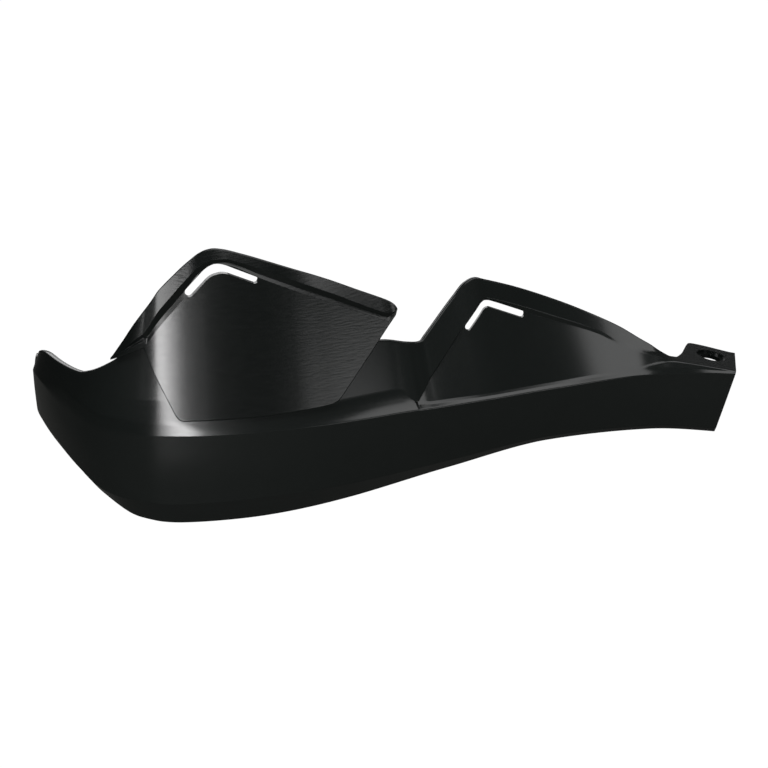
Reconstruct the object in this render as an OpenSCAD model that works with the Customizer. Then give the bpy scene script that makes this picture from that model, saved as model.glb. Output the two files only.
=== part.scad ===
// Wrap-around motorcycle hand guard: a moulded guard shell with a screwed-on wind deflector.
// X runs inboard along the guard, -Y faces the wind, Z is up.
// The origin is the middle of the seat that the handlebar's end presses against.

/* [Guard shell] */
// Thickness of the moulded skin
wall = 3; // [2.6:0.1:3.4]
// Length of the skin, measured round its outer face from the bar end to the inner end
run = 399; // [380:1:420]
// Height of the ridge along the front of the bar
ridge_z = 3.5; // [1:0.5:6]
// Depth of the bar's lowest edge below the bar end
bar_drop = 41; // [37:0.5:45]
// How far the bar's under edge is turned back
under_turn = 9; // [7:0.5:11]
// Height of the wind wing's tip
wing_z = 52; // [48:0.5:56]
// How far the wing's tip leans back
wing_lean = 22; // [18:0.5:26]
// Depth of the wing's recess
recess_deep = 1.5; // [1:0.1:1.8]
// Depth of the hollow shelf above the ridge, beside the wing
shelf_deep = 3.4; // [2.8:0.1:3.8]
// Height of the hollow shelf
shelf_high = 8; // [7:0.5:9]
// Height of the shell's edge behind the deflector
seat_top = 43; // [41:0.5:45]
// Slant of the inner end, seen from the front
end_slant = 16; // [12:1:20]
// Turn of the inner end, seen from above
end_turn = 17; // [12:1:20]

/* [Back of the bar] */
// How far the bottom flange reaches back from the bar's face
flange_reach = 18; // [16:0.5:20]
// Thickness of the bottom flange, the shelf and the ribs
rib_thick = 2; // [1.6:0.1:2.4]
// How far the shelf behind the ridge reaches back
shelf_reach = 13; // [11:0.5:15]
// Distance between ribs
rib_pitch = 32; // [28:1:40]

/* [Bar end] */
// Turn of the handlebar's end away from X, seen from above
bar_sweep = 13; // [10:0.5:14]
// Thickness of the arm between the bolt head's recess and the handlebar
bar_end_thick = 5; // [4:0.5:6]
// Bore for the bar-end bolt
bar_bolt_d = 8.4; // [8.2:0.1:9]
// Recess for the bar-end bolt's head
bar_head_d = 16; // [15:0.5:17]
// Boss that the handlebar's end presses against
bar_boss_d = 20; // [18:0.5:21]

/* [Inner tab] */
// Bore for the clamp's bolt
tab_bolt_d = 9; // [8.2:0.1:9.6]
// Counterbore round the clamp's bolt
tab_head_d = 13.5; // [12.5:0.5:15]
// Depth of the counterbore
tab_head_deep = 1.2; // [0.8:0.1:1.4]
// Thickness of the tab
tab_thick = 3; // [2.8:0.1:3.6]
// Tilt of the tab about Y
tab_tilt = 12; // [9:0.5:15]
// Distance of the tab's bore behind the ridge
tab_back = 18; // [16.5:0.5:19.5]

/* [Deflector] */
// Thickness of the deflector
panel_wall = 2.4; // [2:0.1:2.8]
// Height of the deflector's tip
panel_z = 82.5; // [78:0.5:87]
// Height of the deflector's lower edge above the ridge
panel_rise = 7; // [6:0.5:8]
// Gap between the deflector's lower edge and the shell
panel_gap = 0.4; // [0.3:0.1:0.6]
// How far the deflector's border is bent back
border_bend = 2.2; // [1.5:0.1:3]
// Height of the crest along the border's inner side
crest_high = 0.8; // [0.5:0.1:1]
// Depth of the groove between the crest and the field
groove_deep = 0.5; // [0.3:0.1:0.6]

/* [Vents] */
// Width of the deflector's vent slot at its bend
panel_slot_w = 4.3; // [3.6:0.1:4.6]
// Width of the wing's vent slot
wing_slot_w = 3; // [2.6:0.1:3.4]

/* [Deflector screws] */
// Outside diameter of the screws' threads
screw_d = 4; // [3.5:0.1:4.5]
// Length of the screws under the head
screw_len = 10; // [9:0.5:11]
// Diameter of the screws' heads
screw_head_d = 10; // [9:0.5:11]
// Height of the screws' heads
screw_head_high = 2.6; // [2.2:0.1:3]
// Diameter of the deflector's spigots, which pass through the shell
spigot_d = 8; // [7.5:0.1:8.5]
// Clearance round spigots and threads
fit_gap = 0.2; // [0.15:0.05:0.3]

/* [Hidden] */
$fn = 48;

// Smooth curve through a list of [x, y] points, without overshoot between them
function rise(t, i) = (t[i + 1].y - t[i].y) / (t[i + 1].x - t[i].x);
function bent(a, b) = a * b <= 0 ? 0 : 2 * a * b / (a + b);
function slope(t, i) = i == 0 ? rise(t, 0) : i == len(t) - 1 ? rise(t, i - 1) : bent(rise(t, i - 1), rise(t, i));
function piece(t, x, i = 0) = i >= len(t) - 2 || x < t[i + 1].x ? i : piece(t, x, i + 1);
function smooth(t, x) =
    let (i = piece(t, x), h = t[i + 1].x - t[i].x, u = min(max((x - t[i].x) / h, 0), 1), v = 1 - u)
    (1 + 2 * u) * v * v * t[i].y + u * v * v * h * slope(t, i)
    + (1 + 2 * v) * u * u * t[i + 1].y - u * u * v * h * slope(t, i + 1);

// Evenly spaced stations in several stretches, each [from, to, step]
function stations(stretches) =
    [for (q = stretches) for (s = [q[0] : q[2] : q[1] - q[2] / 2]) s];

// Heading of the guard's outer face seen from above, by place along it: places are numbered up to 399
pad_len = 24;
pad_heading = -90 - bar_sweep;
last_place = 399;
headings = [[0, pad_heading], [pad_len, pad_heading], [43, -84], [62, -76], [82, -66], [98, -50], [112, -33],
    [123.5, -24], [130.5, -13.5], [138, -9.5], [156, -4], [186, 4], [226, 12], [266, 13.5], [306, 12], [340, 3],
    [366, -5], [last_place, -8]];

// The outer face is walked out from the bar-end pad, and the run's length sets the step from place to place
arm_tip = 6;
bolt_s = arm_tip + 14;
head_deep = 3;
pad_thick = bar_end_thick + head_deep;
walk_step = run / last_place;
pad_out = [sin(pad_heading), -cos(pad_heading)];
pad_along = [cos(pad_heading), sin(pad_heading)];
walk = [for (i = 0, p = pad_thick * pad_out - bolt_s * walk_step * pad_along; i <= last_place + 10;
    p = p + walk_step * [cos(heading(i + 0.5)), sin(heading(i + 0.5))], i = i + 1) p];
function heading(s) = smooth(headings, s);
function plan(s) = let (i = floor(s), f = s - i) walk[i] + f * (walk[i + 1] - walk[i]);

// A point of the guard: place along it, offset outwards from the ridge's plan, height
function place(s, out, z) = let (p = plan(s), h = heading(s)) [p.x + out * sin(h), p.y - out * cos(h), z];

// The tab's plane meets the ridge at the inner end, where the ridge runs down a little
ridge_end_z = ridge_z - 1;
tab_s = last_place - 9.5;
tab_from = 369;
function tab_z(s, back = 0) = ridge_end_z + 0.5 + (place(last_place, 0, 0).x - place(s, -back, 0).x) * tan(tab_tilt);
tab_at = place(tab_s, -tab_back, tab_z(tab_s, tab_back));

// Heights of the shell's character lines
ridge_line = [[arm_tip, -3], [20, 4], [46, 9.6], [86, 6.5], [102, ridge_z], [372, ridge_z], [last_place, ridge_end_z]];
low_line = [[arm_tip, -7], [9, -11.5], [16, -14], [36, -14], [62, -16.5], [82, -23.3], [97, -31], [118, 1.8 - bar_drop],
    [140, -bar_drop], [168, 0.6 - bar_drop], [216, -36.8], [265, -30.2], [314, -25], [360, -25], [last_place, -28.5]];
band_high = [[0, 3], [62, 4], [97, 6], [120, 11], [168, 11.5], [216, 9.5], [265, 5.5], [314, 3], [last_place, 2.5]];
edge_line = [[arm_tip, 1], [8, 5], [12, 8.5], [20, 11.5], [31, 16], [43, 20.8], [52, 22.5], [64, 23.2], [83, 24.5],
    [92, 27.1], [104, 33], [121, seat_top], [128, seat_top + 1], [236, 33.8], [248, 30.6], [254, 29.5], [255.5, 29.7],
    [257.5, 31.3], [266.3, 38.4], [275, 45.8], [280, wing_z - 1.6], [284.5, wing_z], [289, wing_z - 1.5], [306.7, 43.6],
    [324.6, 34.9], [337.2, 28], [349.5, 21], [357.2, 16], [361.2, 13.8], [365.1, 11.2], [tab_from, tab_z(tab_from, 9)]];

// Offsets of the shell's lines behind the ridge; at the inner end the edge runs round the tab
band_in = [[0, 1], [62, 1.5], [110, 3], [last_place, 3]];
low_in = [[0, 2.5], [62, 3.5], [112, under_turn], [216, under_turn], [300, 6], [last_place, 5]];
edge_in = [[0, 2], [43, 3.4], [91, 5], [107, 7.5], [128, 12], [150, 12.5], [200, 12], [247, 13.5], [280, wing_lean],
    [305, wing_lean], [335, wing_lean - 1.5], [348, 18.5], [357, 15], [361, 12.8], [365.5, 10.4], [369.5, 8.5],
    [372, 8.8], [374, 11.8], [376, 16], [378, 22], [380, 28], [381.5, 31.3], [383, 32], [last_place, 28.5]];
ledge_in = [[0, 0], [165, 0], [200, 1.2], [232, shelf_deep - 0.2], [244, shelf_deep], [252, 1.2], [last_place, 1.2]];

// The ridge is soft where the arm meets the bar: retreat of its corner and height of its first facet
ridge_in = [[0, 0], [55, 0], [80, 0.7], [128, 0.8], [150, 0.15], [165, 0]];
first_rise = [[0, 1.8], [55, 1.8], [80, 6], [128, 6.5], [150, 2.5], [165, 1.5]];

// The recess in the wing: upper border above the ridge, slope of its upper wall, and depth
recess_top = [[0, shelf_high], [55, shelf_high], [80, 14], [128, 15], [150, 9], [165, shelf_high], [240, shelf_high],
    [246, 3.4], [247.5, 2.8], [250, 4.8], [255, 10.4], [266, 20.4], [277.2, 31.2], [284.6, 38.8], [287.6, 40.4],
    [291, 39.5], [305, 34.2], [323.2, 25.9], [340.1, 17.4], [348.2, 12.2], [360, 8]];
recess_wall = [[0, 2.4], [240, 2.4], [248, 1], [256, 1.6], [284.6, 1.4], [288.3, 1.6], [305, 2.7], [314, 3], [332, 2.4],
    [348, 1.1]];
recess_in = [[246.5, 0], [248.5, recess_deep], [330, recess_deep], [352, 0]];

// Share of the tab's shape in the section: none on the wing, all on the tab
tab_blend = [[350, 0], [362, 0.5], [371, 1]];

// Outer offset of the upper face, without the recess
function upper_out(s, h, high) =
    let (ledge = smooth(ledge_in, s), soft = min(h / shelf_high, 1))
    -ledge * soft * (2 - soft) - (smooth(edge_in, s) - ledge) * h / high;
function mix(a, b, share) = a * (1 - share) + b * share;

// Section of the shell at one station: outer points upwards, then inner points downwards and the flange
function shell_section(s) =
    let (r = smooth(ridge_line, s), b = smooth(low_line, s), c = b + smooth(band_high, s), ei = smooth(edge_in, s))
    let (e = s > tab_from ? tab_z(s, ei) : smooth(edge_line, s), high = e - r)
    let (deep = smooth(recess_in, s), tab = smooth(tab_blend, s), t = min(smooth(recess_top, s), high * 0.93))
    let (h1 = min(smooth(first_rise, s), t * 0.4), h2 = min(2 * h1, t * 0.6))
    let (f = max(t - smooth(recess_wall, s), h2 + (t - h2) * 0.4))
    let (out = function(h) upper_out(s, h, high))
    let (front = 1.4, in = 1.3 * wall)
    let (a = atan2(ei, high), back = [mix(-wall * cos(a), 0, tab), mix(-wall * sin(a), -tab_thick / cos(tab_tilt), tab)])
    let (bi = smooth(band_in, s), li = smooth(low_in, s), reach = min(flange_reach, li + wall + smooth(band_high, s)))
    [[-li, b], [-bi, c], [-bi * 0.35, (c + r) / 2], [-smooth(ridge_in, s), r],
        [mix(out(h1) - deep, -front * 0.7, tab), mix(r + h1, (r + tab_z(s, front)) / 2, tab)],
        [mix(out(h2) - deep, -front, tab), mix(r + h2, tab_z(s, front), tab)],
        [mix(out(f) - deep, -3, tab), mix(r + f, tab_z(s, 3), tab)],
        [mix(out(t), -6, tab), mix(r + t, tab_z(s, 6), tab)],
        [-ei, e], [-ei + back.x, e + back.y],
        [mix(out(t) + back.x, -in, tab), mix(r + t, tab_z(s, in), tab) + back.y],
        [-wall - smooth(ledge_in, s) * 0.3, r - mix(1, wall + 0.4, tab)], [-bi - wall, c], [-li - wall, b + rib_thick],
        [-reach, b + rib_thick], [-reach, b]];

// Skin through a row of closed sections
module loft(places, sections) {
    n = len(places);
    m = len(sections[0]);
    points = [for (i = [0 : n - 1]) for (q = sections[i]) place(places[i], q.x, q.y)];
    sides = [for (i = [0 : n - 2]) for (j = [0 : m - 1]) let (k = (j + 1) % m)
        each [[i * m + j, i * m + k, (i + 1) * m + k], [i * m + j, (i + 1) * m + k, (i + 1) * m + j]]];
    near = [for (j = [m - 1 : -1 : 0]) j];
    far = [for (j = [0 : m - 1]) (n - 1) * m + j];
    polyhedron(points, concat(sides, [near, far]), convexity = 8);
}

wing_from = 248.5;
shell_places = concat(stations([[arm_tip, 17, 2.75], [17, 92, 6.25], [92, 138, 3.5], [138, 240, 6], [240, wing_from, 2],
    [wing_from, 254.5, 2], [254.5, 258, 1], [258, 294, 3.5], [294, 344, 5], [344, 368, 3.5], [368, 384, 1.25],
    [384, last_place, 5]]), [last_place + 3]);

module shell_skin() loft(shell_places, [for (s = shell_places) shell_section(s)]);

// Slanted inner end
module end_trim() {
    p = place(last_place - 1, 0, ridge_z);
    translate(p) rotate([0, 0, -end_turn]) rotate([0, end_slant, 0]) translate([0, -20, -60]) cube([60, 80, 80]);
}

// Middle line of a bent slot: a straight leg, a rounded bend and a second leg
function bent_path(low, bend, far, reach) =
    let (p = bend + reach * (low - bend) / norm(low - bend), q = bend + reach * (far - bend) / norm(far - bend))
    concat([low], [for (t = [0 : 0.125 : 1]) (1 - t) * (1 - t) * p + 2 * t * (1 - t) * bend + t * t * q], [far]);

// Bent vent slot, cut along Y through a skin near the given depth; widths are at its low end, bend and far end
module vent(low, bend, far, reach, widths, y) {
    path = bent_path(low, bend, far, reach);
    last = len(path) - 1;
    turn = [for (i = [0 : last]) let (d = path[min(i + 1, last)] - path[max(i - 1, 0)]) atan2(d.y, d.x)];
    half = [for (i = [0 : last]) lookup(i / last, [[0, widths[0]], [0.5, widths[1]], [1, widths[2]]]) / 2];
    function side(i, a) = path[i] + half[i] * [cos(turn[i] + a), sin(turn[i] + a)];
    translate([0, y + 25, 0]) rotate([90, 0, 0]) linear_extrude(50)
        polygon(concat([for (i = [1 : last - 1]) side(i, 90)], [for (k = [0 : 8]) side(last, 90 - k * 22.5)],
            [for (i = [last - 1 : -1 : 1]) side(i, -90)], [for (k = [0 : 8]) side(0, -90 - k * 22.5)]));
}

// Where a point of the upper face lies in the XZ plane
function face_xz(s, z) =
    let (r = smooth(ridge_line, s), p = place(s, upper_out(s, z - r, smooth(edge_line, s) - r), z)) [p.x, p.z];

module wing_vent() vent(face_xz(278.2, 31.4), face_xz(287.8, 40.4), face_xz(305.2, 32.4), 3,
    wing_slot_w * [0.9, 1.05, 0.9], plan(286).y);

// The tab's bore; the counterbore's floor is flat in the tab's plane
module tab_frame() translate(tab_at) rotate([0, tab_tilt, 0]) children();

module tab_bores() tab_frame() {
    translate([0, 0, -20]) cylinder(h = 40, d = tab_bolt_d);
    translate([0, 0, -tab_head_deep]) cylinder(h = 10, d = tab_head_d);
}

// Bar end: Z of this frame points outboard along the handlebar's axis
module bar_end_frame() rotate([0, 0, -bar_sweep]) rotate([0, -90, 0]) children();

module bar_end_boss() bar_end_frame() cylinder(h = pad_thick - 0.5, d = bar_boss_d);

module bar_end_bores() bar_end_frame() {
    translate([0, 0, -20]) cylinder(h = 60, d = bar_bolt_d);
    translate([0, 0, bar_end_thick]) cylinder(h = 20, d = bar_head_d);
    mirror([0, 0, 1]) cylinder(h = 16, d = bar_boss_d + 2);
}

// Shelf behind the ridge and ribs down to the bottom flange
shelf_from = 92;
shelf_to = 368;
rib_from = 130;

module shelf() {
    far = [for (s = [shelf_from : 8 : shelf_to]) place(s, -wall + 1, 0)];
    near = [for (s = [shelf_to : -8 : shelf_from]) place(s, -smooth([[shelf_from, wall], [124, shelf_reach]], s), 0)];
    translate([0, 0, ridge_z - 1 - rib_thick]) linear_extrude(rib_thick)
        polygon([for (p = concat(far, near)) [p.x, p.y]]);
}

module rib(s) {
    b = smooth(low_line, s) + 1;
    c = b + smooth(band_high, s);
    bi = smooth(band_in, s) + wall / 2;
    reach = min(flange_reach, smooth(low_in, s) + wall + smooth(band_high, s)) - 1;
    translate(place(s, 0, 0)) rotate([0, 0, heading(s)]) rotate([90, 0, 90]) translate([0, 0, -rib_thick / 2])
        linear_extrude(rib_thick)
        polygon([[wall / 2, ridge_z - 1.5], [bi, c], [smooth(low_in, s) + wall / 2, b], [reach, b],
            [shelf_reach - 1, ridge_z - 1.5]]);
}

// Screws hold the deflector from behind, along Y, each at [distance along the guard, height]
screw_at = [[150, 30], [182, 21], [211, 27]];
boss_d = spigot_d + 6;
boss_len = 5;
function screw_point(i) =
    let (s = screw_at[i][0], z = screw_at[i][1], r = smooth(ridge_line, s))
    place(s, upper_out(s, z - r, smooth(edge_line, s) - r), z);
// Plane of the shell's boss that the screw's head pulls on
function boss_y(i) = screw_point(i).y + wall + boss_len;

// Frame with Z pointing forwards from the boss's back plane
module screw_frame(i) translate([screw_point(i).x, boss_y(i), screw_point(i).z]) rotate([90, 0, 0]) children();

// Space in front of the middle of the shell's skin, and of the deflector's, where the screws are
front_places = [for (s = [138 : 4 : 226]) s];
front_top = 46;
module shell_front() loft(front_places, [for (s = front_places)
    let (r = smooth(ridge_line, s), high = smooth(edge_line, s) - r, mid = wall * 0.4)
    [[upper_out(s, shelf_high, high) - mid, r + shelf_high], [15, r + shelf_high], [15, front_top],
        [upper_out(s, front_top - r, high) - mid, front_top]]]);
module panel_front() loft(front_places, [for (s = front_places) let (mid = panel_wall * 0.4)
    [[panel_out(s, 5) - mid, 5], [15, 5], [15, front_top], [panel_out(s, front_top) - mid, front_top]]]);

module screw_boss(i) difference() {
    screw_frame(i) cylinder(h = boss_len + 2 * wall, d = boss_d);
    shell_front();
}

module guard_shell() color("#1b1d1d") difference() {
    union() {
        shell_skin();
        bar_end_boss();
        shelf();
        for (s = [rib_from : rib_pitch : shelf_to]) rib(s);
        for (i = [0 : 2]) screw_boss(i);
    }
    end_trim();
    wing_vent();
    tab_bores();
    bar_end_bores();
    for (i = [0 : 2]) screw_frame(i) translate([0, 0, -1]) cylinder(h = 20, d = spigot_d + 2 * fit_gap);
}

// Deflector: lower edge and upper edge, and how far the field's edge and the border's crest lie under the latter
panel_from = 107;
panel_to = 241.4;
panel_low_z = ridge_z + panel_rise;
panel_low = [[panel_from, 35.6], [122.6, 41.6], [137.4, panel_low_z + 2.2], [138.6, panel_low_z + 0.7],
    [140.4, panel_low_z], [178, panel_low_z], [201, panel_low_z + 0.8], [206.6, panel_low_z + 1.3],
    [209, panel_low_z + 2.2], [211, panel_low_z + 3.8], [240.3, 45], [panel_to, 47.6]];
panel_edge = [[panel_from, 36.6], [111.6, 43.7], [117.6, 52.6], [125.6, 62], [138.6, 73.1], [145.4, 78.2],
    [149.3, panel_z - 1.7], [152.7, panel_z - 0.4], [156, panel_z], [160, panel_z - 0.5], [169.4, 79.4], [183.5, 74.6],
    [197.6, 69.2], [211.8, 63.6], [225.7, 57.3], [236.5, 52.3], [239.4, 50.8], [240.8, 49.6], [panel_to, 48.2]];
field_drop = [[panel_from, 0.5], [112, 7.2], [120, 14.5], [123, 16.4], [133, 15], [141, 13.4], [150, 9.6], [157, 7.4],
    [164, 6.3], [178.6, 8.3], [196, 9.2], [214.5, 9.6], [237, 8.6], [panel_to, 0.5]];
crest_drop = [[panel_from, 0.3], [112, 6.3], [120, 11.8], [123, 11.2], [127, 8.6], [134, 7.6], [141, 6.3], [150, 5.2],
    [157, 4.6], [164, 3.8], [183, 4.3], [215, 5.3], [233, 5.6], [238.5, 5], [panel_to, 0.3]];

// Outer offset of the deflector's field: it clears the shell under its lower edge and leans back less than the shell
function panel_out(s, z) =
    let (seat = smooth([[110, -2], [165, -2.15], [190, -2.8], [205, -3.3], [panel_to, -3.6]], s))
    let (lean = smooth([[110, 0.15], [128, 0.21], [150, 0.26], [panel_to, 0.26]], s))
    seat + panel_gap + panel_wall - lean * (z - panel_low_z);

function panel_section(s) =
    let (b = lookup(s, panel_low), e = max(smooth(panel_edge, s), b + 0.5), t = panel_wall)
    let (l = max(e - smooth(field_drop, s), b + (e - b) * 0.2), c = max(e - smooth(crest_drop, s), b + (e - b) * 0.4))
    let (g = l + (c - l) * 0.35, small = min((l - b) / 2, (c - l) / 2.5, 1), bend = border_bend * min((e - c) / 4, 1))
    [[panel_out(s, b), b], [panel_out(s, l), l], [panel_out(s, g) - groove_deep * small, g],
        [panel_out(s, c) + crest_high * small, c], [panel_out(s, e) - bend, e],
        [panel_out(s, e) - bend - t * 0.8, e - min(t * 0.4, (e - c) / 2)], [panel_out(s, c) - t, c - 0.05],
        [panel_out(s, b) - t, b]];

panel_places = concat(stations([[panel_from, 122.6, 2.6], [122.6, 137.4, 2.96], [137.4, 140.4, 1], [140.4, 164, 2.95],
    [164, 206, 6], [206, 211, 1.25], [211, 236, 5], [236, panel_to, 0.9]]), [panel_to]);

module panel_vent() vent(panel_xz(144.5, 64.8), panel_xz(156.4, 75.6), panel_xz(175, 68), 7,
    panel_slot_w * [0.84, 1, 0.68], plan(155).y + 18);
function panel_xz(s, z) = let (p = place(s, panel_out(s, z), z)) [p.x, p.z];

// Spigots stop a little short of the boss's back plane, so the screw clamps the shell
spigot_short = 0.3;
pilot_deep = screw_len + 0.5 - spigot_short;

module spigot(i) difference() {
    screw_frame(i) translate([0, 0, spigot_short])
        cylinder(h = wall + boss_len + 2 * panel_wall, d = spigot_d);
    panel_front();
}

module deflector() color("#232625") difference() {
    union() {
        loft(panel_places, [for (s = panel_places) panel_section(s)]);
        for (i = [0 : 2]) spigot(i);
    }
    panel_vent();
    for (i = [0 : 2]) screw_frame(i) translate([0, 0, -1]) cylinder(h = pilot_deep + 1, d = screw_d + 2 * fit_gap);
}

module deflector_screw(i) color("#8d9091") screw_frame(i) difference() {
    union() {
        cylinder(h = screw_len, d = screw_d);
        mirror([0, 0, 1]) cylinder(h = screw_head_high, d = screw_head_d);
    }
    translate([0, 0, -screw_head_high - 1]) cylinder(h = 2.4, d = 3.4, $fn = 6);
}

guard_shell();
deflector();
deflector_screw(0);  // deflector_screw_1
deflector_screw(1);  // deflector_screw_2
deflector_screw(2);  // deflector_screw_3
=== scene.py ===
import bpy
import numpy as np
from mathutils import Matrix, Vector


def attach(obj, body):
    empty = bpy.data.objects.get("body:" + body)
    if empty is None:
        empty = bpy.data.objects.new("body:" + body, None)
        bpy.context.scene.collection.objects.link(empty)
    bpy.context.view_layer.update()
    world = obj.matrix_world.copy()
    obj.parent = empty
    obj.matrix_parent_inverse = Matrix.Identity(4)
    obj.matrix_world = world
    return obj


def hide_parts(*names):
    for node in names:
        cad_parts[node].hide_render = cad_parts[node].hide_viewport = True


# Motorcycle hand guard: X inboard, -Y into the wind, Z up, origin in the bar end's seat.
# Shapes are worked out in millimetres and turned to metres as they become meshes.
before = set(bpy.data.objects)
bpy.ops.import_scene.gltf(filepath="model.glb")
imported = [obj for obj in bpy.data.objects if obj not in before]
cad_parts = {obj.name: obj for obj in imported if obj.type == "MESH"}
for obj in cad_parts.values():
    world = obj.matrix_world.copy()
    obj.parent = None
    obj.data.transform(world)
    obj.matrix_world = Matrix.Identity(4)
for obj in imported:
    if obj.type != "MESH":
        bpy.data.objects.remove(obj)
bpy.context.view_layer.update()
mm = 0.001


# Curves and the guard's plan

def smoothCurve(points, x):
    # cubic through the points; an inner slope is the harmonic mean of the rises beside it, so nothing overshoots
    px, py = np.array(points, float).T
    x = np.asarray(x, float)
    rise = np.diff(py) / np.diff(px)
    before, after = rise[:-1], rise[1:]
    agree = before * after > 0
    inner = np.where(agree, 2 * before * after / np.where(agree, before + after, 1), 0)
    slope = np.concatenate([rise[:1], inner, rise[-1:]])
    i = np.clip(np.searchsorted(px, x, "right") - 1, 0, len(px) - 2)
    h = px[i + 1] - px[i]
    u = np.clip((x - px[i]) / h, 0, 1)
    v = 1 - u
    return ((1 + 2 * u) * v * v * py[i] + u * v * v * h * slope[i]
            + (1 + 2 * v) * u * u * py[i + 1] - u * u * v * h * slope[i + 1])


def mix(a, b, share):
    # a at share 0, b at share 1, and evenly in between
    return a * (1 - share) + b * share


plan = {
    "last": 399.0,  # places along the skin are its distance in mm from the bar end
    "armTip": 6.0,
    "boltPlace": 20.0,  # distance of the bar-end bolt along the skin
    "padThick": 8.0,
    "barSweep": 13.0,  # turn of the handlebar's end, in degrees
    "headings": [(0, -103), (24, -103), (43, -84), (62, -76), (82, -66), (98, -50), (112, -33),
                 (123.5, -24), (130.5, -13.5), (138, -9.5), (156, -4), (186, 4), (226, 12), (266, 13.5),
                 (306, 12), (340, 3), (366, -5), (399, -8)],  # place, and degrees from +X
    "step": 0.5,
    "spare": 12.0,  # length of the line past its last place
}
padHeading = np.radians(-90 - plan["barSweep"])
padOut = np.array([np.sin(padHeading), -np.cos(padHeading)])
padAlong = np.array([np.cos(padHeading), np.sin(padHeading)])


def heading(s):
    # direction in which the skin runs, in radians from +X
    return np.radians(smoothCurve(plan["headings"], s))


# The skin's line seen from above: short steps, each along the heading at its middle
walkAt = np.arange(0, plan["last"] + plan["spare"], plan["step"])
walkTurn = heading(walkAt[:-1] + plan["step"] / 2)
walkMoves = plan["step"] * np.stack([np.cos(walkTurn), np.sin(walkTurn)], 1)
walkFrom = plan["padThick"] * padOut - plan["boltPlace"] * padAlong
walk = np.concatenate([walkFrom[None], walkFrom + np.cumsum(walkMoves, 0)])


def place(s, out, z):
    # the plan's point at distance s, moved outwards along the face's normal, at height z
    h = heading(s)
    x = np.interp(s, walkAt, walk[:, 0]) + out * np.sin(h)
    y = np.interp(s, walkAt, walk[:, 1]) - out * np.cos(h)
    return np.stack(np.broadcast_arrays(x, y, z), -1)


def placesOf(*stretches):
    # places along the guard: each stretch has its start, its end and the step between its places
    return np.concatenate([np.arange(*stretch) for stretch in stretches])


# Meshes

def roundCorners(corners, radius, steps):
    # each corner of the closed sections becomes a parabola between points a tangent length away on its two edges
    before = np.roll(corners, 1, 1) - corners
    after = np.roll(corners, -1, 1) - corners
    lengthBefore = np.linalg.norm(before, axis=2, keepdims=True) + 1e-9
    lengthAfter = np.linalg.norm(after, axis=2, keepdims=True) + 1e-9
    before, after = before / lengthBefore, after / lengthAfter
    cosine = np.clip((before * after).sum(2, keepdims=True), -0.999999, 0.999999)
    halfAngle = np.arccos(cosine) / 2
    most = 0.46 * np.minimum(lengthBefore, lengthAfter)
    reach = np.minimum(radius[..., None] / np.tan(halfAngle), most)
    t = np.linspace(0, 1, steps)[None, None, :, None]
    start, end = (corners + before * reach)[:, :, None], (corners + after * reach)[:, :, None]
    points = (1 - t) ** 2 * start + 2 * t * (1 - t) * corners[:, :, None] + t ** 2 * end
    return points.reshape(len(corners), -1, 2)


def closedSkin(name, rings):
    # rings of points joined by quads, a flat cap at each end; turned over if its volume comes out negative
    n, m = rings.shape[:2]
    points = rings.reshape(-1, 3) * mm
    i, j = np.meshgrid(np.arange(n - 1), np.arange(m), indexing="ij")
    k = (j + 1) % m
    quads = np.stack([i * m + j, i * m + k, (i + 1) * m + k, (i + 1) * m + j], -1).reshape(-1, 4)
    a, b, c, d = (points[quads[:, q]] for q in range(4))
    volume = (np.cross(b - a, c - a) * a).sum() + (np.cross(c - a, d - a) * a).sum()
    near, far = np.arange(m)[::-1], (n - 1) * m + np.arange(m)
    for cap in (points[near], points[far]):
        volume += (np.cross(cap[1:-1] - cap[0], cap[2:] - cap[0]) * cap[0]).sum()
    faces = quads.tolist() + [near.tolist(), far.tolist()]
    if volume < 0:
        faces = [f[::-1] for f in faces]
    mesh = bpy.data.meshes.new(name)
    mesh.from_pydata(points, [], faces)
    mesh.update()
    piece = bpy.data.objects.new(name, mesh)
    bpy.context.scene.collection.objects.link(piece)
    return piece


def inset(outline, amount):
    # every point of a closed outline moves inwards along the mean of its two edges' normals
    edge = np.roll(outline, -1, 0) - outline
    edge /= np.linalg.norm(edge, axis=1, keepdims=True)
    normal = np.stack([-edge[:, 1], edge[:, 0]], 1)
    both = normal + np.roll(normal, 1, 0)
    return outline + amount * both * 2 / (both ** 2).sum(1, keepdims=True)


def stacked(name, outline, levels, axes, origin):
    # the outline, inset by the first number of each level and raised by the second, in a frame of its own
    rings = [np.concatenate([inset(outline, i), np.full((len(outline), 1), float(z))], 1) for i, z in levels]
    return closedSkin(name, np.stack(rings) @ np.array(axes, float) + np.array(origin, float))


def circle(diameter, count=48):
    # points at even angles round the origin
    a = np.arange(count) * 2 * np.pi / count
    return diameter / 2 * np.stack([np.cos(a), np.sin(a)], 1)


def combine(piece, tool, operation):
    # an exact join or cut, applied at once; the tool is used up
    change = piece.modifiers.new("change", "BOOLEAN")
    change.operation = operation
    change.solver = "MANIFOLD"
    change.object = tool
    bpy.context.view_layer.update()
    made = bpy.data.meshes.new_from_object(piece.evaluated_get(bpy.context.evaluated_depsgraph_get()))
    piece.modifiers.clear()
    piece.data = made
    bpy.data.objects.remove(tool)


def finishPiece(piece, node, material, sharpAngle=32):
    # smooth shading with true edges, each face weighing in by its area
    piece.data.shade_smooth()
    piece.data.set_sharp_from_angle(angle=np.radians(sharpAngle))
    weigh = piece.modifiers.new("weigh", "WEIGHTED_NORMAL")
    weigh.keep_sharp = True
    piece.data.materials.clear()
    piece.data.materials.append(material)
    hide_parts(node)
    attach(piece, "root")


# Materials

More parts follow.
